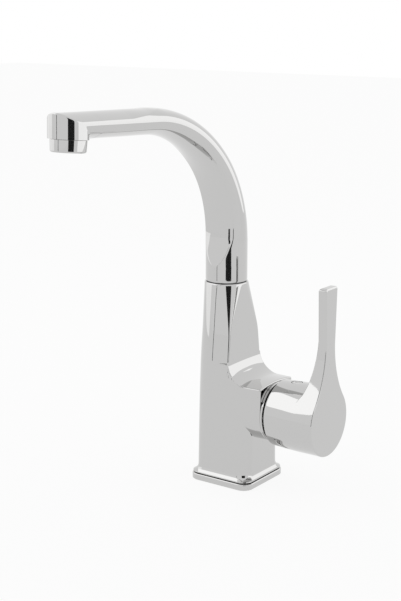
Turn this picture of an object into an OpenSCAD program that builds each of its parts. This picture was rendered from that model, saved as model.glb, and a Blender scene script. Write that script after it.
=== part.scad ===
// Gooseneck basin mixer with a side lever, millimetres.
// Origin: centre of the base plate's underside. Z is up, the spout points to -Y, the lever sits at +X.

/* [Base] */
// Side of the square base plate
base_w = 48; // [40:1:60]
// Corner radius of the base plate
base_r = 7.6; // [3:0.2:12]
// Height of the base plate up to the shadow groove
base_h = 4.4; // [3:0.2:7]
// Height of the shadow groove under the body
groove_h = 0.6; // [0.3:0.1:1.2]

/* [Body] */
// Side of the square column just above its foot
column_w = 42.6; // [36:0.2:50]
// Height of the neck's top face, where the spout begins
neck_z = 136; // [120:1:150]
// Radius of the neck's top rim
neck_r = 14.6; // [13:0.1:17]
// Distance of the neck axis from the middle of the base
neck_off = 9.46; // [0:0.1:12]
// Height at which the square column starts to turn round
shoulder_z = 95; // [85:1:105]

/* [Boss and cartridge] */
// Height of the cartridge axis
hub_z = 52; // [45:0.5:60]
// X of the boss end face
boss_x = 31; // [28:0.5:36]
// Radius of the cartridge housing
cart_r = 16.6; // [14:0.1:18]
// Gap around the cartridge housing in its bore
cart_clear = 0.2; // [0.1:0.05:0.4]
// X of the lever's pivot
pivot_x = 24; // [22:0.5:26]
// Running clearance of the turning parts
run_clear = 0.06; // [0.03:0.01:0.1]

/* [Lever] */
// Height of the lever's top edge
lever_top = 141.5; // [120:0.5:160]
// X of the lever's outer face
lever_x = 71.7; // [66:0.1:76]
// Thickness of the lever's bar
bar_t = 6; // [5:0.1:9]
// Half width of the bar at its narrowest place
waist_y = 5.8; // [4:0.1:8]
// Half width of the bar at its top
bar_top_y = 7.2; // [4:0.1:9]
// Radius of the hub at the disc end
hub_r1 = 23; // [20:0.2:26]
// Radius of the hub at its rim
hub_r0 = 22.2; // [20:0.2:26]
// X of the hub's rim
rim_x = 35.6; // [33:0.1:38]

/* [Spout] */
// Radius of the round spout tube above the neck
tube_r = 14; // [11:0.1:15]
// Height at which the bend starts
bend_z = 166.2; // [150:0.2:200]
// Radius of the first half of the bend
bend_r1 = 77.5; // [40:0.5:100]
// Radius of the second half of the bend
bend_r2 = 98; // [40:0.5:120]
// Rise of the straight run towards the outlet, degrees
rise = 2.04; // [0:0.1:8]
// Distance of the outlet from the neck axis
reach = 155.2; // [120:0.5:180]
// Radius of the outlet head
head_r = 11.8; // [10:0.1:14]
// Depth of the outlet head's underside below the run's centre line
head_drop = 8.57; // [7:0.01:12]
// Tilt of the aerator, degrees
outlet_tilt = 5; // [0:0.5:10]
// Outer radius of the aerator ring
aer_r = 10.6; // [9:0.1:12]
// Visible height of the aerator ring
aer_h = 7.4; // [5:0.1:10]

/* [Hidden] */
$fn = 96;
foot_z = base_h + groove_h;
nx = -neck_off;
ch = column_w / 2;
neck_bore = 12.3;
spigot_r = 10.2;
spigot_low = neck_z - 31.5;
seat_h = 0.6;
bore_r = cart_r + cart_clear;
nut_r = 17.3;
rotor_r = 12;
stem_w = 7.8;
arm = 9.5;

// One node by its name, or "all"

// Turn a shape built along Z so that it lies along X on the cartridge axis
module along_x(x = 0) { translate([x, 0, hub_z]) rotate([0, 90, 0]) children(); }
module tube(r1, r0, h) { difference() { cylinder(r = r1, h = h); translate([0, 0, -1]) cylinder(r = r0, h = h + 2); } }
module rsq(w, r, h) {
  linear_extrude(h) union() {
    square([w - 2 * r, w], center = true);
    square([w, w - 2 * r], center = true);
    for (x = [-1, 1], y = [-1, 1]) translate([x * (w / 2 - r), y * (w / 2 - r)]) circle(r = r);
  }
}

// Closed skin through equal point rings
module skin(rings) {
  n = len(rings[0]);
  m = len(rings);
  pts = [for (r = rings) for (p = r) p];
  sides = [for (i = [0:m - 2], j = [0:n - 1]) let(k = (j + 1) % n, a = i * n + j, b = i * n + k) each
    [[a, b + n, b], [a, a + n, b + n]]];
  lids = [[for (j = [0:n - 1]) j], [for (j = [n - 1:-1:0]) (m - 1) * n + j]];
  polyhedron(points = pts, faces = concat(sides, lids), convexity = 6);
}

// Base plate and gasket
module base_plate() {
  color([0.72, 0.73, 0.75]) difference() {
    union() {
      rsq(base_w, base_r, base_h);
      rsq(column_w - 1.2, 7, foot_z);
    }
    translate([0, 0, -1]) cylinder(r = 17, h = 10);
    translate([0, 0, -1]) tube(21.2, 18.2, 2.6);
  }
}
module base_gasket() { color([0.12, 0.12, 0.13]) tube(21.1, 18.3, 1.6); }

// Ring at height z round four rounds: the left pair ends at x0 and y0, the right pair at x1 and y1
function arc(cx, cy, r, a0, a1) =
  [for (i = [0:11]) let(a = a0 + (a1 - a0) * (i + 0.5) / 12) [cx + r * cos(a), cy + r * sin(a)]];
function four_rounds(z, x0, y0, r0, x1, y1, r1) = let(
    dx = x1 - r1 - x0 - r0, dy = y1 - r1 - y0 + r0,
    a = asin((r0 - r1) / norm([dx, dy])) - atan2(dy, dx))
  [for (p = concat(arc(x1 - r1, y1 - r1, r1, 0, 90 - a), arc(x0 + r0, y0 - r0, r0, 90 - a, 180),
    arc(x0 + r0, r0 - y0, r0, 180, 270 + a), arc(x1 - r1, r1 - y1, r1, 270 + a, 360))) [p[0], p[1], z]];
function square_ring(z, h, r) = four_rounds(z, -h, h, r, h, h, r);

// Column by height above the shoulder: x, half width and corner radius on its left, the same on its right
shoulder_x = 5.3;
boss_top = hub_z + 19;
function up(z) = z - shoulder_z;
function left_x(z) = -ch - 0.85 * min(1, (z - foot_z - 4.6) / 60);
function left_y(z) = ch + lookup(up(z), [[-85, 0], [-55, -0.4], [-35, -0.1], [-12, 0.1], [-5, -0.5], [3, -1.25], [11, -2.2]]);
function left_r(z) = lookup(up(z), [[-85, 8.2], [-55, 9.8], [-35, 11.8], [-22, 13.2], [-12, 14], [11, 14]]);
// the front and back faces close in towards the boss end
function close_in(z) = lookup(up(z), [[-85, 0], [-43, 0.024], [-22, 0.056], [-12, 0.1]]);
function right_y(z) = lookup(up(z), [[-85, ch], [-43, ch - 0.85], [-22, ch - 0.6], [-12, ch - 1.8], [-5, ch - 2.4],
  [-1, ch - 2.8], [5, ch - 3.35], [11, ch - 4.07]]);
function face_y(x, z) = right_y(z) - (x - shoulder_x) * close_in(z);
function foot_ring(z, x1, r1) = four_rounds(z, left_x(z), left_y(z), left_r(z), x1, face_y(x1, z) - 0.1, r1);
foot = (base_w - 0.9) / 2;
neck_low = shoulder_z + 11;
column_rings = concat(
  [square_ring(foot_z, foot, 7.4), square_ring(foot_z + 1, foot, 7.4), square_ring(foot_z + 1.5, ch + 1.3, 7.8),
   square_ring(foot_z + 2.3, ch + 0.6, 8), square_ring(foot_z + 3.4, ch + 0.15, 8.2),
   square_ring(foot_z + 4.6, ch - 0.05, 8.2), foot_ring(hub_z - 12, ch, 8.2), foot_ring(hub_z, ch, 8.2),
   foot_ring(hub_z + 6, 12, 4)],
  [for (z = [hub_z + 14, hub_z + 21, hub_z + 26, shoulder_z - 12, shoulder_z - 5, shoulder_z, shoulder_z + 5])
    four_rounds(z, left_x(z), left_y(z), left_r(z), shoulder_x, right_y(z), 2)],
  [four_rounds(neck_low, left_x(neck_low), left_y(neck_low), left_r(neck_low), 4.9, right_y(neck_low), 2)],
  [[for (p = concat(arc(nx, 0, neck_r, 0, 77), arc(nx, 0, neck_r, 81, 180), arc(nx, 0, neck_r, 180, 279),
    arc(nx, 0, neck_r, 283, 360))) [p[0], p[1], neck_z]]]
);

// Boss that holds the cartridge: rings along X, round below, with a crowned saddle that runs up to the column
saddle_r = 15;
crown = 2;
function saddle_z(x) = x >= shoulder_x + saddle_r ? boss_top
  : boss_top + saddle_r - sqrt(pow(saddle_r, 2) - pow(shoulder_x + saddle_r - max(x, shoulder_x), 2));
// its first ring is hidden inside the column
function boss_y(x, z) = face_y(x, z) - (x < 0 ? 0.6 : 0);
function boss_ring(x) = let(top = saddle_z(x), low = boss_y(x, hub_z), high = boss_y(x, top)) concat(
  [for (i = [0:20]) let(a = 180 + 9 * i) [x, low * cos(a), hub_z + low * sin(a)]],
  [for (i = [1:4]) let(z = hub_z + (top - hub_z) * i / 4) [x, boss_y(x, z), z]],
  [for (i = [1:9]) let(k = 1 - i / 5) [x, high * k, top + crown * (1 - k * k)]],
  [for (i = [4:-1:1]) let(z = hub_z + (top - hub_z) * i / 4) [x, -boss_y(x, z), z]]);
boss_steps = concat([-2], [for (i = [1:12]) shoulder_x + saddle_r * (1 - cos(7.5 * i))], [boss_x]);
module boss() { skin([for (x = boss_steps) boss_ring(x)]); }

// Body casting: column, boss, waterways, neck bore and threads
port_y = 7;
port_dz = 6;
mix_dz = 8;
inlet_x = -10;
inlet_y = 7;
stud_x = 9;
screw_z = neck_z - 11;
module mixer_body() {
  color([0.80, 0.81, 0.83]) difference() {
    union() {
      skin(column_rings);
      boss();
    }
    // cartridge bore and the wider thread of its nut
    along_x() cylinder(r = bore_r, h = boss_x + 1);
    along_x(pivot_x) cylinder(r = nut_r + 0.1, h = boss_x);
    // neck bore and mixed water channel
    translate([nx, 0, spigot_low - 1.5]) cylinder(r = neck_bore, h = neck_z);
    translate([nx, 0, hub_z + mix_dz]) cylinder(r = 6, h = neck_z);
    along_x(nx) translate([-mix_dz, 0, 0]) cylinder(r = 3.8, h = -nx + 0.1);
    // hose inlets, their channels and the seat ports
    for (y = [-1, 1]) {
      translate([inlet_x, y * inlet_y, foot_z - 1]) cylinder(r = 4.6, h = 13);
      translate([inlet_x, y * inlet_y, foot_z]) cylinder(r = 3.1, h = hub_z - port_dz - foot_z);
      along_x(inlet_x) translate([port_dz, y * port_y, 0]) cylinder(r = 3.1, h = -inlet_x + 0.1);
      translate([inlet_x, y * inlet_y, hub_z - port_dz]) sphere(r = 3.1);
    }
    // stud thread in the underside
    translate([stud_x, 0, foot_z - 1]) cylinder(r = 3.4, h = 15);
    // stop screw at the back of the neck
    translate([nx, 8, screw_z]) rotate([-90, 0, 0]) cylinder(r = 2.5, h = 20);
  }
}

// Neck joint: slide ring, two bushes, two O-rings, stop screw
module neck_slide_ring() { color([0.2, 0.2, 0.21]) translate([nx, 0, neck_z]) tube(13.2, spigot_r + 0.3, seat_h); }
module neck_bush(z) {
  color([0.85, 0.85, 0.82]) translate([nx, 0, z]) tube(neck_bore - run_clear, spigot_r, 4.6);
}
module upper_neck_bush() { neck_bush(neck_z - 5.2); }
module lower_neck_bush() { neck_bush(spigot_low + 0.3); }
module neck_o_rings() {
  color([0.1, 0.1, 0.1]) for (z = [neck_z - 22, neck_z - 17])
    translate([nx, 0, z]) rotate_extrude() translate([spigot_r + 1, 0]) circle(r = 1, $fn = 36);
}
module spout_stop_screw() {
  color([0.5, 0.5, 0.52]) translate([nx, 0, screw_z]) rotate([-90, 0, 0]) difference() {
    union() {
      translate([0, 0, 9.1]) cylinder(r = 1.9, h = 4);
      translate([0, 0, 12.6]) cylinder(r = 2.45, h = 2.4);
    }
    translate([0, 0, 13.4]) cylinder(r = 1.3, h = 3, $fn = 6);
  }
}

// Spout: centre line in the YZ plane, section by stations
bend_a = 90 - rise;
half_a = bend_a / 2;
spout_z = neck_z + seat_h + 0.05;
mid_pt = [-bend_r1 * (1 - cos(half_a)), bend_z + bend_r1 * sin(half_a)];
end_pt = mid_pt + bend_r2 * [cos(bend_a) - cos(half_a), sin(bend_a) - sin(half_a)];
head_z = end_pt[1] + (reach + end_pt[0]) * tan(rise) - head_drop;
// station s: -1 to 0 up the straight neck, 0 to 1 round the bend, above 1 along the run (60 mm each)
function turn(s) = s <= 0 ? 0 : s >= 1 ? bend_a : s * bend_a;
function spine(s) = s <= 0 ? [0, bend_z + s * (bend_z - spout_z)]
  : s <= 0.5 ? [-bend_r1 * (1 - cos(turn(s))), bend_z + bend_r1 * sin(turn(s))]
  : s <= 1 ? mid_pt + bend_r2 * [cos(turn(s)) - cos(half_a), sin(turn(s)) - sin(half_a)]
  : end_pt + 60 * (s - 1) * [-cos(rise), sin(rise)];
function side_w(s) = lookup(s, [[0, tube_r], [1, (tube_r + head_r) / 2], [2, head_r]]);
// inner face: distance of its edge from the centre line, and its crown beyond that edge
function in_edge(s) = lookup(s, [[-0.62, tube_r - 0.04], [0, 8.6], [0.13, 8.2], [0.4, 7], [0.7, 6.7],
  [1, 5.4], [1.4, 5.5]]);
function in_crown(s) = lookup(s, [[-0.62, 0.04], [0, 1], [0.4, 1.5], [0.7, 3.5], [1, 4.1], [1.4, 3.9], [2, 3.5]]);
// outer face: full depth, depth of its side curve, and the edge of its top facet
function out_full(s) = lookup(s, [[0, tube_r], [0.25, 11.2], [0.6, 8.8], [1, 6.4], [2, 6.3]]);
function out_side(s) = s < 0.92 ? out_full(s) : lookup(s, [[0.92, out_full(0.92)], [1.4, 10], [2, head_r]]);
function out_edge(s) = s < 0.92 ? out_full(s) - 0.02
  : lookup(s, [[0.92, out_full(0.92) - 0.02], [1.1, 4], [1.4, 1.7], [2, 1.5]]);
function place(s, x, n) = let(c = spine(s), t = turn(s)) [nx - x, c[0] - n * cos(t), c[1] - n * sin(t)];
function section(s) = let(w = side_w(s), ne = in_edge(s), h = in_crown(s), to = out_full(s), te = out_side(s),
  no = out_edge(s), bi = asin(ne / w), bo = asin(min(1, no / te)), xi = w * cos(bi), xo = w * cos(bo)) [
  for (i = [0:7]) place(s, w * cos(bi * i / 8), w * sin(bi * i / 8)),
  for (i = [0:10]) let(k = 1 - i / 5) place(s, xi * k, ne + h * (1 - k * k)),
  for (i = [7:-1:0]) place(s, -w * cos(bi * i / 8), w * sin(bi * i / 8)),
  for (i = [1:7]) place(s, -w * cos(bo * i / 8), -te * sin(bo * i / 8)),
  for (i = [0:10]) let(k = i / 5 - 1) place(s, xo * k, -no - (to - no) * (1 - k * k)),
  for (i = [7:-1:1]) place(s, w * cos(bo * i / 8), -te * sin(bo * i / 8))
];
stations = concat([-1, -0.62, -0.6, -0.55, -0.47, -0.36, -0.2], [for (i = [0:18]) i / 20],
  [0.92, 0.94, 0.98, 1.04, 1.12, 1.22, 1.4, 1.7, 2, 2.4]);
// inner channel, an oval that follows the same centre line
function channel(s) = let(t = (out_full(s) + in_edge(s) + in_crown(s)) / 2, m = t - out_full(s),
  a = lookup(s, [[-1, 6.2], [-0.5, 9], [2, 8.6]]), b = min(a, t - 2.4))
  [for (i = [0:23]) let(p = 360 * i / 24) place(s, a * cos(p), m + b * sin(p))];
channel_end = 1 + (reach + end_pt[0] + 2) / 60;
channel_stations = concat([-1.02, -0.8, -0.5, -0.2], [for (i = [0:10]) i / 10], [1.3, 1.7, channel_end]);
module at_outlet(tilt) { translate([nx, -reach, head_z]) rotate([-tilt, 0, 0]) children(); }
module stop_lug(a) {
  intersection() {
    tube(spigot_r, 8.7, 5);
    linear_extrude(5) polygon([[0, 0], [20 * cos(a), 20 * sin(a)], [20 * cos(a + 9), 20 * sin(a + 9)],
      [20 * cos(a + 18), 20 * sin(a + 18)]]);
  }
}
module spout_tube() {
  color([0.82, 0.83, 0.85]) difference() {
    union() {
      difference() {
        skin([for (s = stations) section(s)]);
        // round end of the head
        at_outlet(rise) difference() {
          translate([-30, -60, -30]) cube([60, 60, 60]);
          translate([0, 0, -31]) cylinder(r = head_r, h = 62);
        }
        at_outlet(outlet_tilt) translate([-30, -30, -20]) cube([60, 30 + head_r + 0.4, 20]);
      }
      intersection() {
        at_outlet(rise) translate([0, 0, -5]) cylinder(r = head_r - 0.1, h = 11);
        at_outlet(outlet_tilt) translate([-30, -30, 0]) cube([60, 60, 20]);
      }
      // spigot with its stop groove
      translate([nx, 0, spigot_low]) difference() {
        cylinder(r = spigot_r, h = spout_z - spigot_low + 0.5);
        translate([0, 0, screw_z - spigot_low - 2.5]) tube(spigot_r + 1, 8.8, 5);
      }
      translate([nx, 0, screw_z - 2.5]) for (a = [163, -1]) stop_lug(a);
    }
    translate([nx, 0, spigot_low - 1]) cylinder(r = 6.5, h = spout_z - spigot_low + 1.5);
    skin([for (s = channel_stations) channel(s)]);
    at_outlet(outlet_tilt) translate([0, 0, -1]) cylinder(r = 9.9, h = 6.5);
    at_outlet(outlet_tilt) cylinder(r = 7, h = 8);
  }
}

// Outlet: washer, regulator, insert and its screwed ring
module outlet_washer() { color([0.1, 0.1, 0.1]) at_outlet(outlet_tilt) translate([0, 0, 5]) tube(9.7, 7.2, 0.5); }
module flow_regulator() {
  color([0.75, 0.2, 0.2]) at_outlet(outlet_tilt) translate([0, 0, 4]) difference() {
    cylinder(r = 8.4, h = 1);
    for (a = [0:60:300]) rotate(a) translate([5, 0, -1]) cylinder(r = 1.2, h = 3, $fn = 24);
  }
}
module aerator_insert() {
  color([0.9, 0.9, 0.88]) at_outlet(outlet_tilt) translate([0, 0, 1 - aer_h]) difference() {
    cylinder(r = 8.4, h = aer_h + 3);
    for (x = [-2:2], y = [-2:2]) if (x * x + y * y < 7)
      translate([x * 2.9 - 0.95, y * 2.9 - 0.95, -1]) cube([1.9, 1.9, aer_h + 5]);
  }
}
module aerator_housing() {
  color([0.82, 0.83, 0.85]) at_outlet(outlet_tilt) difference() {
    union() {
      translate([0, 0, 0.8 - aer_h]) cylinder(r1 = aer_r - 0.3, r2 = aer_r, h = aer_h - 0.85);
      translate([0, 0, -aer_h]) cylinder(r1 = aer_r - 1, r2 = aer_r - 0.3, h = 0.8);
      translate([0, 0, -0.06]) cylinder(r = 9.8, h = 5.06);
    }
    translate([0, 0, 1 - aer_h]) cylinder(r = 8.5, h = aer_h + 5);
    translate([0, 0, -aer_h - 1]) cylinder(r = 7.8, h = 3);
  }
}

// Cartridge, from its seat outwards
module ports(rp, rm, h, z = -1) {
  for (y = [-1, 1]) translate([port_dz, y * port_y, z]) cylinder(r = rp, h = h);
  translate([-mix_dz, 0, z]) cylinder(r = rm, h = h);
}
module cartridge_base() {
  color([0.9, 0.9, 0.86]) along_x() difference() {
    cylinder(r = cart_r, h = 4);
    ports(3.1, 3.8, 6);
    ports(5, 5.6, 2.2);
  }
}
module port_seals() {
  color([0.1, 0.1, 0.1]) along_x() difference() {
    ports(4.9, 5.5, 1.2, 0);
    ports(3.4, 4.1, 4);
  }
}
module fixed_ceramic_disc() {
  color([0.93, 0.93, 0.95]) along_x(4) difference() {
    cylinder(r = 13.2, h = 3.4);
    ports(2.6, 3.4, 6);
  }
}
rest_z = -arm * sin(12.5);
module moving_ceramic_disc() {
  color([0.88, 0.88, 0.92]) along_x(7.45) translate([-rest_z, 0, 0]) difference() {
    cylinder(r = 9.6, h = 2.95);
    translate([0, 0, -1]) cylinder(r = 6.6, h = 2.6);
  }
}
module disc_carrier() {
  color([0.3, 0.45, 0.7]) along_x(10.4) difference() {
    translate([-rest_z, 0, 0]) cylinder(r = 10.6, h = 5.8);
    translate([0, 0, 1.1]) cylinder(r = 2.8, h = 6);
  }
}
module cartridge_housing() {
  color([0.9, 0.9, 0.86]) difference() {
    union() {
      along_x(4) cylinder(r = cart_r, h = pivot_x - 4);
      along_x(pivot_x - 0.5) cylinder(r = 13.5, h = 7);
    }
    along_x(3) cylinder(r = 13.3, h = 15.1);
    along_x(10) cylinder(r = rotor_r + run_clear, h = 30);
  }
}
module cartridge_rotor() {
  color([0.35, 0.5, 0.75]) difference() {
    union() {
      along_x(16.4) cylinder(r = 13, h = 1.6);
      along_x(17) cylinder(r = rotor_r, h = 16);
      intersection() {
        along_x(12) cylinder(r = 13, h = 5);
        union() for (y = [-13.5, 10.9]) translate([11, y, hub_z - 5.5]) cube([6, 2.6, 11]);
      }
    }
    translate([11, -stem_w / 2 - 0.3, hub_z - 9.2]) cube([30, stem_w + 0.6, 18.4]);
    translate([pivot_x, -20, hub_z]) rotate([-90, 0, 0]) cylinder(r = 1.6, h = 40, $fn = 48);
  }
}
module pivot_pin() {
  color([0.6, 0.6, 0.62]) translate([pivot_x, -11, hub_z]) rotate([-90, 0, 0]) cylinder(r = 1.6, h = 22, $fn = 48);
}
module hot_limit_ring() {
  color([0.8, 0.15, 0.12]) along_x(pivot_x + 6.5) difference() {
    tube(13.4, rotor_r + 0.35, 1.5);
    for (a = [0:20:340]) rotate(a) translate([12.6, -0.6, 0.7]) cube([2, 1.2, 2]);
  }
}
module cartridge_nut() {
  color([0.78, 0.66, 0.35]) along_x(pivot_x) difference() {
    tube(nut_r, 13.7, 5);
    for (a = [0:60:300]) rotate(a) translate([13, -1.5, 3]) cube([3.4, 3, 3]);
  }
}
collar_r0 = 20;
collar_r1 = 17.4;
module trim_collar() {
  color([0.6, 0.61, 0.63]) difference() {
    union() {
      along_x(pivot_x + 5.1) cylinder(r = nut_r, h = 2.5);
      along_x(boss_x) cylinder(r1 = collar_r0, r2 = collar_r1, h = 5);
    }
    along_x(pivot_x) cylinder(r = 14.6, h = 30);
  }
}

// Lever: stem, handle, grub screw, index plug, screw cover
stem_end = 54;
screw_x = 46;
plug_x = 47;
plug_r = 3.6;
cover_r = 3.15;
cover_t = 2.6;
module lever_stem() {
  color([0.55, 0.56, 0.58]) difference() {
    union() {
      translate([pivot_x - 4, -stem_w / 2, hub_z - stem_w / 2]) cube([stem_end - pivot_x + 4, stem_w, stem_w]);
      along_x(pivot_x - arm) cylinder(r = 1.9, h = 7, $fn = 48);
      translate([pivot_x - arm, 0, hub_z]) sphere(r = 2.6, $fn = 48);
    }
    translate([pivot_x, -20, hub_z]) rotate([-90, 0, 0]) cylinder(r = 1.66, h = 40, $fn = 48);
  }
}
waist_z = hub_z + 52;
flank_r = (waist_y * waist_y + pow(waist_z - hub_z, 2) - hub_r1 * hub_r1) / (2 * (hub_r1 - waist_y));
tan_k = hub_r1 / (hub_r1 + flank_r);
tan_y = (waist_y + flank_r) * tan_k;
tan_z = (waist_z - hub_z) * tan_k;
// Half width of the flank at height z above the hub axis
function flank_y(z) = waist_y + flank_r - sqrt(pow(flank_r, 2) - pow(waist_z - hub_z - z, 2));
flank_side = concat([[tan_y - 0.4, tan_z - 2]], [for (i = [0:14]) let(z = tan_z + 0.3 + (waist_z - hub_z - tan_z - 0.3) * i / 14)
  [flank_y(z), z]], [[bar_top_y, lever_top - hub_z - 0.8], [bar_top_y - 0.8, lever_top - hub_z]]);
module flank_bar() {
  polygon(concat(flank_side, [for (i = [len(flank_side) - 1:-1:0]) [-flank_side[i][0], flank_side[i][1]]]));
}
// Back of the bar, curving in towards the hub
back_r = 100;
back_z = hub_z + 14;
back_top = hub_z + 55;
module bar_side() {
  polygon(concat([[lever_x, back_z], [lever_x, lever_top + 1], [lever_x - bar_t, lever_top + 1]],
    [for (i = [0:8]) let(z = back_top - (back_top - back_z) * i / 8)
      [lever_x - bar_t - back_r + sqrt(pow(back_r, 2) - pow(back_top - z, 2)), z]]));
}
disc_t = 7;
socket_x = rim_x + 8;
module lever_handle() {
  color([0.82, 0.83, 0.85]) difference() {
    union() {
      along_x(rim_x) cylinder(r1 = hub_r0, r2 = hub_r1 - 0.1, h = lever_x - disc_t - rim_x + 0.5);
      along_x(lever_x - disc_t) cylinder(r = hub_r1, h = disc_t - 0.5);
      along_x(lever_x - 0.5) cylinder(r1 = hub_r1, r2 = hub_r1 - 0.5, h = 0.5);
      intersection() {
        translate([lever_x - 20, 0, hub_z]) rotate([90, 0, 90]) linear_extrude(21) flank_bar();
        translate([0, 40, 0]) rotate([90, 0, 0]) linear_extrude(80) bar_side();
      }
    }
    difference() {
      along_x(rim_x - 1) cylinder(r = 19.8, h = lever_x - disc_t - rim_x);
      along_x(socket_x) cylinder(r = 9, h = 60);
    }
    translate([rim_x, -stem_w / 2 - 0.15, hub_z - stem_w / 2 - 0.15])
      cube([stem_end - rim_x + 0.5, stem_w + 0.3, stem_w + 0.3]);
    translate([screw_x, 0, hub_z - 30]) cylinder(r = 2.1, h = 28);
    translate([screw_x, 0, hub_z - 30]) cylinder(r = cover_r + 0.05, h = 16);
    translate([plug_x, 0, hub_z + 15]) cylinder(r = plug_r + 0.1, h = 16);
  }
}
module lever_grub_screw() {
  color([0.45, 0.45, 0.47]) translate([screw_x, 0, hub_z - 8.9]) difference() {
    cylinder(r = 2.05, h = 5);
    translate([0, 0, -1]) cylinder(r = 1.15, h = 3.2, $fn = 6);
  }
}
module index_plug() { color([0.7, 0.71, 0.73]) translate([plug_x, 0, hub_z + 20]) cylinder(r = plug_r, h = 2.6); }
module screw_cover() { color([0.7, 0.71, 0.73]) translate([screw_x, 0, hub_z - 20 - cover_t]) cylinder(r = cover_r, h = cover_t); }

base_plate();
base_gasket();
mixer_body();
neck_slide_ring();
upper_neck_bush();
lower_neck_bush();
neck_o_rings();
spout_stop_screw();
spout_tube();
outlet_washer();
flow_regulator();
aerator_insert();
aerator_housing();
cartridge_base();
port_seals();
fixed_ceramic_disc();
moving_ceramic_disc();
disc_carrier();
cartridge_housing();
cartridge_rotor();
pivot_pin();
hot_limit_ring();
cartridge_nut();
trim_collar();
lever_stem();
lever_handle();
lever_grub_screw();
index_plug();
screw_cover();
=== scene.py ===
"""Gooseneck basin mixer in polished chrome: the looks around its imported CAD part. Sizes in millimetres."""

import math

import bpy
import numpy as np
from mathutils import Matrix, Vector


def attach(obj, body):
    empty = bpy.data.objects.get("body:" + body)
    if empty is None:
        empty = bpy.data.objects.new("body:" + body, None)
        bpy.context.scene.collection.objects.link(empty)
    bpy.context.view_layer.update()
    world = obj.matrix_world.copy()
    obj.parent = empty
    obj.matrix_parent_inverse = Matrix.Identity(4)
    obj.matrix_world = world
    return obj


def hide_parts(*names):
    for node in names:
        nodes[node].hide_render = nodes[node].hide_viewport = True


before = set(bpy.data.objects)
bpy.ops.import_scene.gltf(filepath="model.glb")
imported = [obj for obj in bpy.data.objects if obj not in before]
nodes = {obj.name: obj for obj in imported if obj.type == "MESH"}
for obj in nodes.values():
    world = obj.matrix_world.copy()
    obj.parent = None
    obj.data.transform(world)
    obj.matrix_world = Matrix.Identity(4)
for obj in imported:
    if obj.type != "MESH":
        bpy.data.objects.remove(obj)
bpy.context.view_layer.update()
MM = 0.001
quarter = math.pi / 2
weld_gap = 0.002 * MM

# Sizes of the part, as its source has them
base_w, base_r, base_h, foot_z = 48, 7.6, 4.4, 5
column_half, shoulder_z, shoulder_x = 21.3, 95, 5.3
neck_x, neck_z, neck_low, neck_r = -9.46, 136, 106, 14.6
hub_z, boss_x, boss_top, saddle_r, crown = 52, 31, 71, 15, 2
tube_r, bend_z, bend_r1, bend_r2, rise = 14, 166.2, 77.5, 98, 2.04
reach, head_r, head_z, outlet_tilt = 155.2, 11.8, 243.7, 5
aer_r, aer_h = 10.6, 7.4
spout_z, spigot_r, spigot_low, stop_z = 136.65, 10.2, 104.5, 125
rim_x, lever_x, hub_r0, hub_r1 = 35.6, 71.7, 22.2, 23
lever_top, waist_up, waist_y, bar_top_y, bar_round = 141.5, 52, 5.8, 7.2, 2.2
screw_x, cover_r, plug_x, plug_r = 46, 3.1, 47, 3.5


# Small helpers
def clear_selection():
    bpy.ops.object.select_all(action="DESELECT")


def only(obj):
    clear_selection()
    obj.select_set(True)
    bpy.context.view_layer.objects.active = obj
    return obj


def named(name):
    obj = bpy.context.active_object
    obj.name = obj.data.name = name
    return obj


def linked(name, data):
    obj = bpy.data.objects.new(name, data)
    bpy.context.scene.collection.objects.link(obj)
    return obj


def settle(obj):
    only(obj)
    bpy.ops.object.transform_apply(location=True, rotation=True, scale=True)
    return obj


def apply_all(obj):
    only(obj)
    for m in list(obj.modifiers):
        bpy.ops.object.modifier_apply(modifier=m.name)
    return obj


def combined(obj, tool, operation):
    m = obj.modifiers.new("combined", "BOOLEAN")
    m.operation, m.solver, m.object = operation, "EXACT", tool
    apply_all(obj)
    bpy.data.objects.remove(tool)
    return obj


def cut(obj, tool):
    return combined(obj, tool, "DIFFERENCE")


def weld(obj):
    """Merges doubled points and turns the faces outwards."""
    only(obj)
    bpy.ops.object.mode_set(mode="EDIT")
    bpy.ops.mesh.select_all(action="SELECT")
    bpy.ops.mesh.remove_doubles(threshold=weld_gap)
    bpy.ops.mesh.normals_make_consistent(inside=False)
    bpy.ops.object.mode_set(mode="OBJECT")
    return obj


def skinned(name, rows):
    """Closed skin of quads through rows of points in millimetres, each row a closed ring."""
    rows = np.array(rows, float) * MM
    count, ring = rows.shape[:2]
    faces = [(i * ring + j, i * ring + (j + 1) % ring, (i + 1) * ring + (j + 1) % ring, (i + 1) * ring + j)
             for i in range(count - 1) for j in range(ring)]
    faces.append(tuple(range(ring - 1, -1, -1)))
    faces.append(tuple((count - 1) * ring + j for j in range(ring)))
    mesh = bpy.data.meshes.new(name)
    mesh.from_pydata(rows.reshape(-1, 3).tolist(), [], faces)
    return weld(linked(name, mesh))


def turned(name, outline, steps=96):
    """Lathe piece about Z from (radius, height) points; an outline that starts off the axis makes a ring."""
    points = [(r * MM, 0, z * MM) for r, z in outline]
    edges = [(i, i + 1) for i in range(len(points) - 1)]
    if outline[0][0] > 0:
        edges.append((len(points) - 1, 0))
    mesh = bpy.data.meshes.new(name)
    mesh.from_pydata(points, edges, [])
    obj = only(linked(name, mesh))
    bpy.ops.object.mode_set(mode="EDIT")
    bpy.ops.mesh.select_all(action="SELECT")
    bpy.ops.mesh.spin(steps=steps, angle=math.tau, center=(0, 0, 0), axis=(0, 0, 1))
    bpy.ops.object.mode_set(mode="OBJECT")
    return weld(obj)


def drill(name, r, low, high, steps=96):
    return turned(name, [(0, low), (r, low), (r, high), (0, high)], steps)


def put(obj, matrix):
    obj.data.transform(matrix)
    return obj


def at(x, y, z):
    return Matrix.Translation((x * MM, y * MM, z * MM))


def on_hub_axis(x=0):
    return at(x, 0, hub_z) @ Matrix.Rotation(quarter, 4, "Y")


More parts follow.
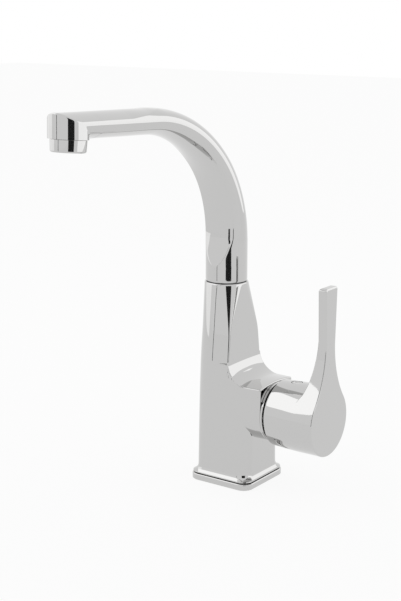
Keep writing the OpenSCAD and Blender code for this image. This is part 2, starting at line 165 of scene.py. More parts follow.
def smooth(obj, angle=35, weighted=True):
    only(obj)
    bpy.ops.object.shade_smooth_by_angle(angle=math.radians(angle))
    if weighted:
        m = obj.modifiers.new("faces", "WEIGHTED_NORMAL")
        m.keep_sharp, m.weight = True, 60
        apply_all(obj)
    return obj


def finished(obj, body, material, slot, *stands_for):
    obj.data.materials.clear()
    obj.data.materials.append(material)
    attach(obj, body)
    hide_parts(*stands_for)
    return obj


def curve(*rows):
    """Function that reads a value between rows of (place, value)."""
    places, values = zip(*rows)
    return lambda place: float(np.interp(place, places, values))


def arc(cx, cy, r, start, end, count=16):
    angles = [math.radians(start + (end - start) * i / count) for i in range(count + 1)]
    return [(cx + r * math.cos(a), cy + r * math.sin(a)) for a in angles]


def eased(count):
    """0 to 1 in count steps that crowd at both ends."""
    return [(1 - math.cos(math.pi * i / count)) / 2 for i in range(count + 1)]


def softened(path, spread, closed=False):
    """Path with rounded corners: each point is the mean of the path within spread to each side of it."""
    loop = np.vstack([path, path[:1]]) if closed else path
    along = np.concatenate([[0], np.cumsum(np.linalg.norm(np.diff(loop, axis=0), axis=1))])
    if closed:
        length, along = along[-1], along[:-1]
        track = np.concatenate([along - length, along, along + length])
        points, near, samples = np.tile(path, (3, 1)), np.full(len(path), spread), 11
    else:
        track, points, samples = along, path, 9
        near = np.minimum(spread, np.minimum(along, along[-1] - along))
    places = along[:, None] + near[:, None] * np.linspace(-1, 1, samples)
    return np.stack([np.interp(places, track, points[:, i]).mean(1) for i in (0, 1)], 1)


# Camera at the photograph's place and angle, in metres
camera = linked("camera", bpy.data.cameras.new("camera"))
camera_place = Vector((0.46869, -0.69629, 0.32144))
camera_look = Vector((-0.56730, 0.79076, -0.22991))
camera_side = Vector((0.81253, 0.58292, 0.0))
camera_up = camera_side.cross(camera_look)
camera.matrix_world = Matrix((
    (camera_side.x, camera_up.x, -camera_look.x, camera_place.x),
    (camera_side.y, camera_up.y, -camera_look.y, camera_place.y),
    (camera_side.z, camera_up.z, -camera_look.z, camera_place.z),
    (0, 0, 0, 1)))
camera.data.lens, camera.data.sensor_width = 77.47, 36
camera.data.clip_start, camera.data.clip_end = 0.01, 20
bpy.context.scene.camera = camera


# Materials
def new_material(name, color, metallic=0.0, roughness=0.4):
    material = bpy.data.materials.new(name)
    material.use_nodes = True
    shader = material.node_tree.nodes["Principled BSDF"]
    shader.inputs["Base Color"].default_value = (*color, 1)
    shader.inputs["Metallic"].default_value = metallic
    shader.inputs["Roughness"].default_value = roughness
    shader.inputs["IOR"].default_value = 1.45
    return material


def grain(material, scale, low, high, bump=0.0):
    """Varies roughness between low and high with a noise of that many waves per metre, and can bump it."""
    tree = material.node_tree
    shader = tree.nodes["Principled BSDF"]
    place = tree.nodes.new("ShaderNodeTexCoord")
    noise = tree.nodes.new("ShaderNodeTexNoise")
    noise.inputs["Scale"].default_value = scale
    noise.inputs["Detail"].default_value = 3
    spread = tree.nodes.new("ShaderNodeMapRange")
    spread.inputs["To Min"].default_value = low
    spread.inputs["To Max"].default_value = high
    tree.links.new(place.outputs["Object"], noise.inputs["Vector"])
    tree.links.new(noise.outputs["Fac"], spread.inputs["Value"])
    tree.links.new(spread.outputs["Result"], shader.inputs["Roughness"])
    if bump:
        relief = tree.nodes.new("ShaderNodeBump")
        relief.inputs["Strength"].default_value = bump
        relief.inputs["Distance"].default_value = 0.05 * MM
        tree.links.new(noise.outputs["Fac"], relief.inputs["Height"])
        tree.links.new(relief.outputs["Normal"], shader.inputs["Normal"])
    return material


chrome = grain(new_material("polished chrome", (0.556, 0.554, 0.550), metallic=1), 60, 0.02, 0.05)
rubber = grain(new_material("black rubber", (0.03, 0.03, 0.03)), 2500, 0.65, 0.8, 0.2)
white_plastic = grain(new_material("white plastic", (0.78, 0.78, 0.74)), 1500, 0.38, 0.5, 0.1)
dark_plastic = grain(new_material("dark plastic", (0.06, 0.06, 0.065)), 1500, 0.35, 0.5, 0.1)
blue_plastic = grain(new_material("blue plastic", (0.10, 0.22, 0.50)), 1500, 0.38, 0.5, 0.1)
red_plastic = grain(new_material("red plastic", (0.55, 0.06, 0.04)), 1500, 0.38, 0.5, 0.1)
ceramic = grain(new_material("lapped ceramic", (0.86, 0.86, 0.83)), 900, 0.12, 0.2)
steel = grain(new_material("turned steel", (0.52, 0.53, 0.55), metallic=1), 1200, 0.22, 0.38, 0.05)
raw_brass = grain(new_material("turned brass", (0.70, 0.50, 0.22), metallic=1), 1200, 0.22, 0.36, 0.05)

node_finish = {
    "base_gasket": rubber, "neck_o_rings": rubber, "outlet_washer": rubber, "port_seals": rubber,
    "upper_neck_bush": white_plastic, "lower_neck_bush": white_plastic, "cartridge_base": white_plastic,
    "cartridge_housing": white_plastic, "aerator_insert": white_plastic, "neck_slide_ring": dark_plastic,
    "cartridge_rotor": blue_plastic, "disc_carrier": blue_plastic, "hot_limit_ring": red_plastic,
    "flow_regulator": red_plastic, "fixed_ceramic_disc": ceramic, "moving_ceramic_disc": ceramic,
    "pivot_pin": steel, "lever_stem": steel, "lever_grub_screw": steel, "spout_stop_screw": steel,
    "cartridge_nut": raw_brass, "base_plate": chrome, "mixer_body": chrome, "spout_tube": chrome,
    "aerator_housing": chrome, "trim_collar": chrome, "lever_handle": chrome, "index_plug": chrome,
    "screw_cover": chrome}
for name, material in node_finish.items():
    nodes[name].data.materials.clear()
    nodes[name].data.materials.append(material)


# Base plate: rounded square with softened edges, its groove under the body and its round opening
plate_round, plate_chamfer = 0.9, 0.5
step_half, step_top_half, step_r = 20.9, 20.7, 7
gasket_r0, gasket_r1, gasket_deep = 18.2, 21.2, 1.6
opening_r = 17


def rounded_square(half, radius, z, count=12):
    ring = []
    for k, (sx, sy) in enumerate(((1, 1), (-1, 1), (-1, -1), (1, -1))):
        for i in range(count + 1):
            a = quarter * (k + i / count)
            x, y = sx * (half - radius) + radius * math.cos(a), sy * (half - radius) + radius * math.sin(a)
            ring.append((x, y, z))
    return ring


def plate_rows():
    half = base_w / 2
    rows = [rounded_square(half - plate_chamfer, base_r - plate_chamfer, 0),
            rounded_square(half, base_r, plate_chamfer)]
    for a in np.linspace(0, quarter, 7):
        inset, drop = plate_round * (1 - math.cos(a)), plate_round * (1 - math.sin(a))
        rows.append(rounded_square(half - inset, base_r - inset, base_h - drop))
    rows.append(rounded_square(step_half, step_r, base_h))
    rows.append(rounded_square(step_top_half, step_r, base_h + 0.1))
    rows.append(rounded_square(step_top_half, step_r, foot_z))
    return rows


plate = skinned("base_plate_polished", plate_rows())
bpy.ops.mesh.primitive_cylinder_add(vertices=96, radius=opening_r * MM, depth=4 * foot_z * MM,
                                    location=(0, 0, foot_z / 2 * MM))
cut(plate, settle(named("opening")))
groove_outline = [(gasket_r0, -1), (gasket_r1, -1), (gasket_r1, gasket_deep), (gasket_r0, gasket_deep)]
cut(plate, turned("groove", groove_outline))
finished(smooth(plate), "mixer", chrome, "polished_chrome", "base_plate")

# Body casting: rings up the column, rounded square at the foot to a round neck
flange_half, flange_r = (base_w - 0.9) / 2, 8.2
lean, lean_from, lean_over = 0.85, 4.6, 60
neck_rim_in, neck_rim_h = 0.4, 0.6
saddle_edge, boss_end_r, boss_start_in = 0.8, 1, 0.6
bore_r, nut_thread_r, nut_x, neck_bore_r, neck_bore_low = 16.8, 17.4, 24, 12.3, 103
inlet_x, inlet_y, inlet_r, inlet_deep = -10, 7, 4.6, 12
stud_x, stud_r, stud_deep = 9, 3.4, 14

# Curves read at the height over shoulder_z; closing is how fast the flat faces close in towards the boss
left_half = curve((-85, 21.3), (-55, 20.9), (-35, 21.2), (-12, 21.4), (-5, 20.8), (3, 20.05), (11, 19.1))
left_round = curve((-85, 8.2), (-55, 9.8), (-35, 11.8), (-22, 13.2), (-12, 14), (11, 14))
right_half = curve((-85, 21.3), (-43, 20.45), (-22, 20.7), (-12, 19.5), (-5, 18.9), (-1, 18.5), (5, 17.95),
                   (11, 17.23))
right_round = curve((-35, 1), (-9, 1.1), (0, 1.7), (11, 2))
closing = curve((-85, 0), (-43, 0.024), (-22, 0.056), (-12, 0.1))


def face_y(x, z):
    """Half width of the flat front and back at x and z, which close in towards the boss end."""
    return right_half(z - shoulder_z) - (x - shoulder_x) * closing(z - shoulder_z)


def four_rounds(x0, y0, r0, x1, y1, r1):
    """Outline round four rounds: the left pair ends at x0 and y0, the right pair at x1 and y1."""
    dx, dy = x1 - r1 - x0 - r0, y1 - r1 - y0 + r0
    a = math.degrees(math.asin((r0 - r1) / math.hypot(dx, dy)) - math.atan2(dy, dx))
    return np.array(arc(x1 - r1, y1 - r1, r1, 0, 90 - a) + arc(x0 + r0, y0 - r0, r0, 90 - a, 180)
                    + arc(x0 + r0, r0 - y0, r0, 180, 270 + a) + arc(x1 - r1, r1 - y1, r1, 270 + a, 360))


def square_ring(half, r):
    return four_rounds(-half, half, r, half, half, r)


def leaning_ring(z, x1, y1, r1):
    """Ring at z whose left side leans out a little up the column, with the right side as given."""
    up = z - shoulder_z
    left_x = -column_half - lean * min(1, (z - foot_z - lean_from) / lean_over)
    return four_rounds(left_x, left_half(up), left_round(up), x1, y1, r1)


def foot_ring(z, x1, r1):
    return leaning_ring(z, x1, face_y(x1, z) - 0.1, r1)


def column_ring(z, x1=shoulder_x):
    return leaning_ring(z, x1, right_half(z - shoulder_z), right_round(z - shoulder_z))


# Height over the foot, half width and corner radius of the rings round the body's foot
flange = ((0, flange_half - 0.5, 7), (0.15, flange_half - 0.15, 7.3), (0.5, flange_half, 7.4),
          (0.9, flange_half - 0.1, 7.4), (1.3, column_half + 1.6, 7.8), (2.0, column_half + 0.8, 8),
          (3.0, column_half + 0.3, flange_r), (lean_from, column_half - 0.05, flange_r))
neck_ring = np.array(arc(neck_x, 0, neck_r, 0, 78.5) + arc(neck_x, 0, neck_r, 80.5, 180)
                     + arc(neck_x, 0, neck_r, 180, 279.5) + arc(neck_x, 0, neck_r, 281.5, 360))
key_rings = [(foot_z + up, square_ring(half, r)) for up, half, r in flange]
key_rings += [(z, foot_ring(z, column_half, flange_r)) for z in (hub_z - 12, hub_z)]
key_rings.append((hub_z + 6, foot_ring(hub_z + 6, 12, 4)))
key_rings += [(z, column_ring(z)) for z in (66, 70, 73, 76, 79, 83, 86.5, 90, 94, 98, 102)]
key_rings += [(neck_low, column_ring(neck_low, 4.9)), (neck_z, neck_ring)]


def ring_at(z):
    heights = [height for height, _ in key_rings]
    i = min(max(int(np.searchsorted(heights, z, side="right")) - 1, 0), len(heights) - 2)
    t = min(max((z - heights[i]) / (heights[i + 1] - heights[i]), 0), 1)
    return key_rings[i][1] * (1 - t) + key_rings[i + 1][1] * t


def column_rows():
    """Rings up the column, its changes of slope spread over a few millimetres, to the neck's round rim."""
    rows = []
    even_from, rim_z = 12, neck_z - neck_rim_h
    heights = [foot_z + up for up, _, _ in flange] + list(np.arange(even_from, rim_z - 0.2, 1.5))
    for z in heights:
        blend = max(0, min(4, (z - even_from) * 0.5, (rim_z - z) * 0.9))
        ring = np.mean([ring_at(z + d * blend) for d in np.linspace(-1, 1, 13)], axis=0)
        rows.append([(x, y, z) for x, y in ring])
    for z in (rim_z, neck_z - 0.3, neck_z - 0.1, neck_z):
        inset = neck_rim_in * ((z - rim_z) / neck_rim_h) ** 2
        ring = neck_ring + (np.array([neck_x, 0]) - neck_ring) * (inset / neck_r)
        rows.append([(x, y, z) for x, y in ring])
    return rows


def saddle_z(x):
    """Height of the saddle's two edges at x."""
    over = min(max(shoulder_x + saddle_r - x, 0), saddle_r)
    return boss_top + saddle_r - math.sqrt(saddle_r ** 2 - over ** 2)


def boss_outline(x):
    """The boss at x as points in YZ: half round below the hub axis, flat sides and a crowned top."""
    top = saddle_z(x)
    low, high = face_y(x, hub_z), face_y(x, top)
    crest = crown * min(1, max(0, (x - shoulder_x) / 4))
    crest_y = high - saddle_edge

    def crown_point(y):
        return y, top + crest * (1 - (y / high) ** 2)

    half = [(low * math.sin(a), hub_z - low * math.cos(a)) for a in np.linspace(0, quarter, 25)]
    half += [(face_y(x, z), z) for z in np.linspace(hub_z, top - saddle_edge, 9)[1:]]
    side, tip, over = np.array(half[-1]), np.array([high, top]), np.array(crown_point(crest_y))
    half += [tuple((1 - t) ** 2 * side + 2 * t * (1 - t) * tip + t * t * over)
             for t in np.linspace(0, 1, 7)[1:]]
    half += [crown_point(crest_y * k) for k in np.linspace(1, 0, 11)[1:]]
    return np.array(half + [(-y, z) for y, z in half[-2:0:-1]])


def boss_inset(x):
    """How far the outline is drawn in: at the rounded end, and at the start, which is inside the column."""
    if x < 0:
        return boss_start_in
    over = max(0, x - boss_x + boss_end_r)
    return boss_end_r - math.sqrt(boss_end_r ** 2 - over ** 2)


def boss_rows():
    """The boss and its crowned saddle as rings in X."""
    rows = []
    places = [-2] + [shoulder_x + saddle_r * (1 - math.cos(a)) for a in np.linspace(0.04, quarter, 40)]
    places += [boss_x - back for back in (9, 7, 5, 3, 1.5, 1, 0.6, 0.3, 0.1, 0.03, 0)]
    for x in places:
        points = boss_outline(x)
        out = points - np.array([0, hub_z])
        points = points - out / np.linalg.norm(out, axis=1)[:, None] * boss_inset(x)
        rows.append([(x, y, z) for y, z in points])
    return rows


column = skinned("column", column_rows())
combined(column, skinned("boss", boss_rows()), "UNION")
column.name = column.data.name = "body_casting"
bore_outline = [(0, -0.1), (bore_r, -0.1), (bore_r, nut_x), (nut_thread_r, nut_x), (nut_thread_r, 40),
                (0, 40)]
cut(column, put(turned("cartridge_bore", bore_outline), on_hub_axis()))
cut(column, put(drill("neck_bore", neck_bore_r, neck_bore_low, 150), at(neck_x, 0, 0)))
for x, y, r, deep in ((inlet_x, inlet_y, inlet_r, inlet_deep), (inlet_x, -inlet_y, inlet_r, inlet_deep),
                      (stud_x, 0, stud_r, stud_deep)):
    thread = turned("thread", [(0, -2), (r, -2), (r, deep + foot_z), (0, deep + foot_z + 1)], 48)
    cut(column, put(thread, at(x, y, 0)))
finished(smooth(column), "mixer", chrome, "polished_chrome", "mixer_body")

# Spout: one skin of lines that run up the neck, round the bend, along the run and down the head's wall
run_unit, flat_from, spout_edge, head_edge = 60, 0.92, 0.55, 0.8
waterway_r, groove_r, groove_half = 6.5, 8.8, 2.5
tube_rim_in, tube_rim_share = 0.3, 0.03
bend_a, half_bend = math.radians(90 - rise), math.radians(90 - rise) / 2
run_way = np.array([-math.cos(math.radians(rise)), math.sin(math.radians(rise))])


def bend_point(a):
    """Centre line in YZ at an angle of the bend, whose second half has a larger radius than its first."""
    first_a = min(a, half_bend)
    first = np.array([-bend_r1 * (1 - math.cos(first_a)), bend_z + bend_r1 * math.sin(first_a)])
    if a <= half_bend:
        return first
    return first + bend_r2 * np.array([math.cos(a) - math.cos(half_bend), math.sin(a) - math.sin(half_bend)])


def turn(s):
    return min(max(s, 0), 1) * bend_a


def spine(s):
    """Centre line in YZ: s is -1 to 0 up the neck, 0 to 1 round the bend, then one run_unit for each 1."""
    if s <= 0:
        return np.array([0, bend_z + s * (bend_z - spout_z)])
    if s <= 1:
        return bend_point(turn(s))
    return bend_point(bend_a) + run_unit * (s - 1) * run_way


def spread_curve(*rows):
    """A curve along s whose changes of slope are spread over 0.1 on both sides, less near the neck."""
    plain = curve(*rows)

    def read(s):
        near = np.linspace(-1, 1, 9) * min(0.1, max(0.03, (s + 0.6) * 0.5))
        return float(np.mean([plain(place) for place in s + near]))
    return read


half_width = spread_curve((0, tube_r), (1, (tube_r + head_r) / 2), (2, head_r))
inner_edge = spread_curve((-0.62, tube_r - 0.01), (0, 8.6), (0.13, 8.2), (0.4, 7), (0.7, 6.7), (1, 5.4),
                          (1.4, 5.5))
inner_crown = spread_curve((-0.62, 0.01), (0, 1), (0.4, 1.5), (0.7, 3.5), (1, 4.1), (1.4, 3.9), (2, 3.5))
outer_depth = spread_curve((0, tube_r), (0.25, 11.2), (0.6, 8.8), (1, 6.4), (2, 6.3))
# From flat_from on, the outer face turns flat and its edges come forward
run_side = curve((flat_from, outer_depth(flat_from)), (1.4, 10), (2, head_r))
run_edge = curve((flat_from, outer_depth(flat_from) - 0.02), (1.1, 4), (1.4, 1.7), (2, 1.5))


def outer_side(s):
    return outer_depth(s) if s < flat_from else run_side(s)


def outer_edge(s):
    return outer_depth(s) - 0.02 if s < flat_from else run_edge(s)


def section(s):
    """Points (x, n) round the spout at s, n towards the inside of the bend: a crowned inner and outer face
    between round flanks, with the edges between them softened."""
    w, inner, crest = half_width(s), inner_edge(s), inner_crown(s)
    deep, side, outer = outer_depth(s), outer_side(s), outer_edge(s)
    inner_a, outer_a = math.asin(min(1, inner / w)), math.asin(min(1, outer / side))
    inner_x, outer_x = w * math.cos(inner_a), w * math.cos(outer_a)
    inner_flank, outer_flank, face = eased(14)[:-1], eased(16)[:-1], eased(28)[:-1]
    ring = [(w * math.cos(inner_a * t), w * math.sin(inner_a * t)) for t in inner_flank]
    ring += [(inner_x * k, inner + crest * (1 - k * k)) for k in (1 - 2 * t for t in face)]
    ring += [(-w * math.cos(inner_a * t), w * math.sin(inner_a * t)) for t in (1 - t for t in inner_flank)]
    ring += [(-w * math.cos(outer_a * t), -side * math.sin(outer_a * t)) for t in outer_flank]
    ring += [(outer_x * k, -outer - (deep - outer) * (1 - k * k)) for k in (2 * t - 1 for t in face)]
    ring += [(w * math.cos(outer_a * t), -side * math.sin(outer_a * t)) for t in (1 - t for t in outer_flank)]
    return softened(np.array(ring), spout_edge, closed=True)


def spigot_rows():
    """The plain spigot inside the neck, with its stop groove."""
    groove_low, groove_high = stop_z - groove_half, stop_z + groove_half
    outline = [(waterway_r, spigot_low + 8), (waterway_r, spigot_low), (spigot_r - 0.3, spigot_low),
               (spigot_r, spigot_low + 0.3), (spigot_r, groove_low), (groove_r, groove_low),
               (groove_r, groove_high), (spigot_r, groove_high), (spigot_r, spout_z)]
    plain = section(-1) / tube_r
    return [[(neck_x - x * r, -n * r, z) for x, n in plain] for r, z in outline]


run_end = 1 + (reach + bend_point(bend_a)[0]) / run_unit / math.cos(math.radians(rise))
head_start = run_end - (head_r + 4) / run_unit


def tube_rows():
    """Rings up the neck, round the bend and along the run to the head."""
    stops = [-1 + 0.006 * i for i in (0, 1, 2, 4, 8)] + list(np.arange(-0.9, -0.66, 0.05))
    stops += list(np.arange(-0.65, -0.3, 0.012)) + list(np.arange(-0.3, 0.0, 0.03))
    stops += list(np.arange(0.0, 1.06, 0.0125)) + list(np.arange(1.07, head_start - 0.01, 0.025))
    stops.append(head_start)
    rows = []
    for s in stops:
        over = max(0, 1 - (s + 1) / tube_rim_share)
        ring = section(s) * (1 - tube_rim_in * over ** 2 / tube_r)
        c, a = spine(s), turn(s)
        rows.append([(neck_x - x, c[0] - n * math.cos(a), c[1] - n * math.sin(a)) for x, n in ring])
    return rows


head_axis = np.array([neck_x, *spine(run_end)])
head_way = np.array([0, *run_way])
head_down = np.array([0, -math.cos(bend_a), -math.sin(bend_a)])
head_drop = spine(run_end)[1] - head_z
outlet_slope = math.tan(math.radians(outlet_tilt - rise))


def head_point(x, along, down):
    return head_axis + np.array([-x, 0, 0]) + head_way * along + head_down * down


def head_line(x, n):
    """Line from the run's point (x, n) on to the head's round wall, down it and in at the outlet."""
    start = -(head_r + 4)
    wall = math.sqrt(max(0, head_r ** 2 - x * x)) * (1 if n < 0 else -1)
    low = head_drop - wall * outlet_slope
    path = [(start + (wall - start) * t, n) for t in np.sin(np.linspace(0, quarter, 25))]
    path += [(wall, n + (low - n) * t) for t in eased(24)[1:]]
    line = [head_point(x, along, down) for along, down in softened(np.array(path), head_edge)[1:]]
    # small rounding at the foot of the wall, then in to the bore
    for inset, up in ((0.06, 0), (0.18, 0), (0.35, 0), (1.8, 0), (1.85, 5.4)):
        k = 1 - inset / head_r
        line.append(head_point(x * k, wall * k, head_drop - wall * k * outlet_slope - up))
    return line


def head_rows():
    lines = [head_line(x, n) for x, n in section(run_end)]
    return [list(row) for row in zip(*lines)]


spout = skinned("spout_chromed", spigot_rows() + tube_rows() + head_rows())
finished(smooth(spout, 50, weighted=False), "spout", chrome, "polished_chrome", "spout_tube")

# Lever: hub cone with the bar growing out of it; bar heights are counted from the hub axis
bar_top = lever_top - hub_z
flank_r = (waist_y ** 2 + waist_up ** 2 - hub_r1 ** 2) / (2 * (hub_r1 - waist_y))
flank_start = waist_up * hub_r1 / (hub_r1 + flank_r)
back_edge_r, end_edge, end_x = 0.75, 0.75, lever_x - 3
hub_in_r, hub_deep, hole_floor, hole_top = 19.8, 28, 20.6, 28.6
back_x = curve((10, 53), (15, 56.5), (18.5, 58.7), (20, 59.7), (23.4, 60.8), (28, 62.1), (35, 63.4),
               (44, 64.6), (55, 65.7))


def flank_y(z):
    """Half width of the bar at height z."""
    if z < flank_start:
        return math.sqrt(hub_r1 ** 2 - z * z)
    if z < waist_up:
        return waist_y + flank_r - math.sqrt(flank_r ** 2 - (waist_up - z) ** 2)
    return waist_y + (bar_top_y - waist_y) * (z - waist_up) / (bar_top - waist_up)


def bar_rows():
    """The bar behind its end face: rings up Z, rounded along the two back edges and over the top."""
    rows = []
    round_z = bar_top - bar_round
    heights = list(np.arange(8, flank_start, 1.0)) + list(np.arange(flank_start, round_z - 0.1, 1.0))
    heights += [round_z + bar_round * math.sin(a) for a in np.linspace(0, quarter, 12)]
    for z in heights:
        over = max(0, (z - bar_top) / bar_round + 1)
        pinch = bar_round * (1 - math.sqrt(max(0, 1 - over ** 2)))
        # below the flanks the bar stays just inside the hub
        half = flank_y(z) - pinch - (0.03 if z < flank_start - 0.01 else 0)
        x, r = back_x(z) + pinch + back_edge_r, back_edge_r
        back = arc(x, half - r, r, 90, 180, 6) + arc(x, r - half, r, 180, 270, 6)
        rows.append([(x, y, hub_z + z) for x, y in [(end_x, half)] + back + [(end_x, -half)]])
    return rows


def end_outline(inset):
    """Half disc, flanks and bar seen along X, as (y, z) from the hub axis, moved in by inset."""
    disc_end = math.pi - math.atan2(flank_y(flank_start), flank_start)
    top_y = flank_y(bar_top)
    half = [(hub_r1 * math.sin(a), -hub_r1 * math.cos(a)) for a in np.linspace(0, disc_end, 80)]
    half += [(flank_y(z), z) for z in np.linspace(flank_start, waist_up, 30)[1:]]
    half += [(flank_y(z), z) for z in np.linspace(waist_up, bar_top - bar_round, 24)[1:]]
    half += [(top_y - bar_round * (1 - math.cos(a)), bar_top - bar_round * (1 - math.sin(a)))
             for a in np.linspace(0, quarter, 12)[1:]]
    half += [(y, bar_top) for y in np.linspace(top_y - bar_round, 0.4, 5)[1:]]
    points = np.array(half + [(-y, z) for y, z in half[:0:-1]])
    way = np.roll(points, -1, 0) - np.roll(points, 1, 0)
    way /= np.linalg.norm(way, axis=1)[:, None]
    return points + inset * np.stack([-way[:, 1], way[:, 0]], 1)


def end_rows():
    """The lever's end face with its rounded edge, which is softer over the bar's top."""
    rows = [[(end_x, y, hub_z + z) for y, z in end_outline(0)]]
    for a in np.linspace(0, quarter, 9):
        row = []
        for y, z in end_outline(end_edge * (1 - math.cos(a))):
            softer = 0.9 * min(1, max(0, (z - bar_top + 4) / 3)) * (1 - math.cos(a))
            row.append((lever_x - end_edge + end_edge * math.sin(a), y, hub_z + z - softer))
        rows.append(row)
    return rows


def hub_outline():
    """The hub as (radius, distance from its rim): a shell with a rounded rim that widens to the disc."""
    outline = [(0, hub_deep), (hub_in_r, hub_deep), (hub_in_r, 1.0), (19.9, 0.5), (20.2, 0.12), (20.6, 0.0),
               (hub_r0 - 0.35, 0.0), (hub_r0 - 0.1, 0.1), (hub_r0, 0.35)]
    for k in range(1, 9):
        outline.append((hub_r0 + (hub_r1 - hub_r0) * math.sin(quarter * k / 8), 0.35 + 20 * k / 8))
    return outline + [(hub_r1, 24), (hub_r1, hub_deep), (hub_r1, end_x - rim_x), (0, end_x - rim_x)]


bar = skinned("bar", bar_rows())
end_face = skinned("end_face", end_rows())
lever = put(turned("lever_chromed", hub_outline(), 144), on_hub_axis(rim_x))
cut(lever, put(drill("plug_hole", plug_r + 0.25, hole_floor, hole_top, 48), at(plug_x, 0, hub_z)))
cut(lever, put(drill("cover_hole", cover_r + 0.2, -hole_top, -hole_floor, 48), at(screw_x, 0, hub_z)))
clear_selection()
for part in (bar, end_face, lever):
    part.select_set(True)
bpy.context.view_layer.objects.active = lever
bpy.ops.object.join()
finished(smooth(lever, 40), "lever", chrome, "polished_chrome", "lever_handle")

# Trim ring between body and lever
trim_in, trim_r, trim_h = 14.6, 20.0, 5.0
trim_outline = [(trim_in, 0.0), (trim_r - 0.3, 0.0), (trim_r, 0.25), (trim_r, 1.5), (trim_r - 0.3, 1.8),
                (18.8, 1.95), (18.4, 2.3), (18.0, trim_h - 0.4), (17.6, trim_h), (trim_in, trim_h)]
trim = put(turned("trim_ring", trim_outline), on_hub_axis(boss_x))
finished(smooth(trim, 40), "mixer", chrome, "polished_chrome", "trim_collar")

# Aerator ring, hung below the head on the tilted outlet
outlet = at(neck_x, -reach, head_z) @ Matrix.Rotation(math.radians(-outlet_tilt), 4, "X")
mouth_r, thread_r, thread_h, seat_z = 7.8, 9.8, 5, 1 - aer_h
aerator_outline = [(8.5, seat_z), (mouth_r, seat_z), (mouth_r, 0.2 - aer_h), (mouth_r + 0.2, -aer_h),
                   (9.5, -aer_h), (9.9, 0.15 - aer_h), (10.25, 0.7 - aer_h), (10.3, seat_z),
                   (aer_r, -0.5), (aer_r - 0.1, -0.2), (10.2, -0.05), (thread_r, -0.05),
                   (thread_r, thread_h), (8.5, thread_h)]
aerator = put(turned("aerator_ring", aerator_outline), outlet)
finished(smooth(aerator, 40), "spout", chrome, "polished_chrome", "aerator_housing")

# Index plug on top of the hub, with its dished face, and the screw's cover under the hub
plug_z, plug_h, cover_z, cover_h = 20, 2.6, -22.6, 2.6
plug_outline = [(0, 0), (plug_r, 0), (plug_r, plug_h - 0.3), (plug_r - 0.15, plug_h - 0.1),
                (plug_r - 0.5, plug_h), (2.6, plug_h), (2.35, 2.45), (2.2, 2.2), (1.9, 2.1), (0, 2.15)]
plug = put(turned("index_button", plug_outline, 48), at(plug_x, 0, hub_z + plug_z))
finished(smooth(plug, 40), "lever", chrome, "polished_chrome", "index_plug")
cover_outline = [(0, 0), (cover_r - 0.3, 0.05), (cover_r, 0.4), (cover_r, cover_h), (0, cover_h)]
cover = put(turned("screw_cap", cover_outline, 48), at(screw_x, 0, hub_z + cover_z))
finished(smooth(cover, 40), "lever", chrome, "polished_chrome", "screw_cover")

# Stage in metres: pale floor, white surroundings, three softboxes, and two dark flags beside the camera
object_middle = Vector((0, -0.05, 0.13))


def by_ray(tree, lit, seen):
    """Value lit for the light that falls on things, and seen for what the camera, metal and glass see."""
    rays = tree.nodes.new("ShaderNodeLightPath")
    either = rays.outputs["Is Camera Ray"]
    for kind in ("Is Glossy Ray", "Is Transmission Ray"):
        both = tree.nodes.new("ShaderNodeMath")
        both.operation = "MAXIMUM"
        tree.links.new(either, both.inputs[0])
        tree.links.new(rays.outputs[kind], both.inputs[1])
        either = both.outputs[0]
    scaled = tree.nodes.new("ShaderNodeMapRange")
    scaled.inputs["To Min"].default_value = lit
    scaled.inputs["To Max"].default_value = seen
    tree.links.new(either, scaled.inputs["Value"])
    return scaled.outputs["Result"]


def stand_at(obj, bearing, distance, z):
    """Stands obj at a bearing from the object, 0 towards -Y and 90 towards +X, and faces it there."""
    way = Vector((math.sin(math.radians(bearing)), -math.cos(math.radians(bearing)), 0))
    obj.location = Vector((object_middle.x, object_middle.y, z)) + way * distance
    obj.rotation_euler = (-way).to_track_quat("-Z", "Y").to_euler()


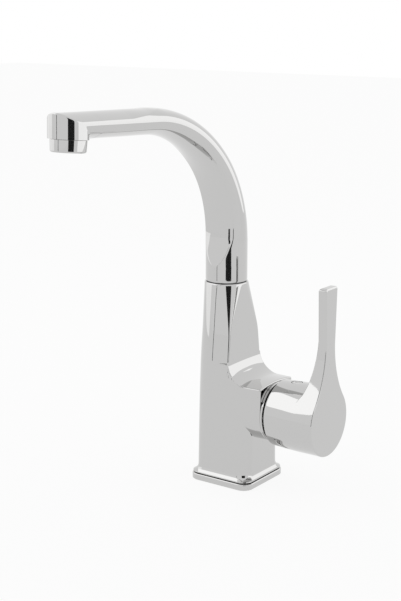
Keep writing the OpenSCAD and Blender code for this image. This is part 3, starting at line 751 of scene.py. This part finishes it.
def softbox(name, bearing, distance, wide, low, high, brightness):
    """An upright lamp; the chrome shows its brightness on top of the white behind it."""
    lamp = bpy.data.lights.new(name, "AREA")
    lamp.shape, lamp.size, lamp.size_y = "RECTANGLE", wide, high - low
    lamp.energy = brightness * math.pi * wide * (high - low)
    stand_at(linked(name, lamp), bearing, distance, (low + high) / 2)


def flag(name, bearing, distance, wide, high):
    """A dark card on the floor, which the camera doesn't see."""
    bpy.ops.mesh.primitive_plane_add(size=1)
    card = named(name)
    card.scale = (wide, high, 1)
    stand_at(card, bearing, distance, high / 2)
    card.data.materials.append(flag_cloth)
    card.visible_camera = False


world = bpy.data.worlds.new("studio")
world.use_nodes = True
background = world.node_tree.nodes["Background"]
background.inputs["Color"].default_value = (1, 1, 1, 1)
world.node_tree.links.new(by_ray(world.node_tree, 0.85, 1.0), background.inputs["Strength"])
bpy.context.scene.world = world

floor_paint = bpy.data.materials.new("pale floor")
floor_paint.use_nodes = True
floor_tree = floor_paint.node_tree
floor_tree.nodes.clear()
matt = floor_tree.nodes.new("ShaderNodeBsdfDiffuse")
matt.inputs["Color"].default_value = (0.8, 0.8, 0.8, 1)
glow = floor_tree.nodes.new("ShaderNodeEmission")
blend = floor_tree.nodes.new("ShaderNodeMixShader")
floor_out = floor_tree.nodes.new("ShaderNodeOutputMaterial")
floor_tree.links.new(by_ray(floor_tree, 0.0, 0.9), blend.inputs["Fac"])
floor_tree.links.new(matt.outputs[0], blend.inputs[1])
floor_tree.links.new(glow.outputs[0], blend.inputs[2])
floor_tree.links.new(blend.outputs[0], floor_out.inputs["Surface"])
bpy.ops.mesh.primitive_plane_add(size=8)
wide_floor = named("floor")
wide_floor.data.materials.append(floor_paint)

flag_cloth = new_material("black flag cloth", (0.01, 0.01, 0.01), roughness=0.9)
softbox("upper left softbox", bearing=-62, distance=0.8, wide=1.0, low=0.45, high=1.4, brightness=0.62)
softbox("low left softbox", bearing=-74, distance=0.8, wide=0.7, low=0.02, high=0.44, brightness=0.32)
softbox("back right softbox", bearing=128, distance=0.9, wide=1.3, low=0.05, high=0.8, brightness=0.5)
flag("right flag", bearing=48, distance=0.55, wide=0.32, high=0.45)
flag("thin flag", bearing=-20, distance=0.55, wide=0.025, high=0.3)

bpy.context.scene.view_settings.view_transform = "Standard"
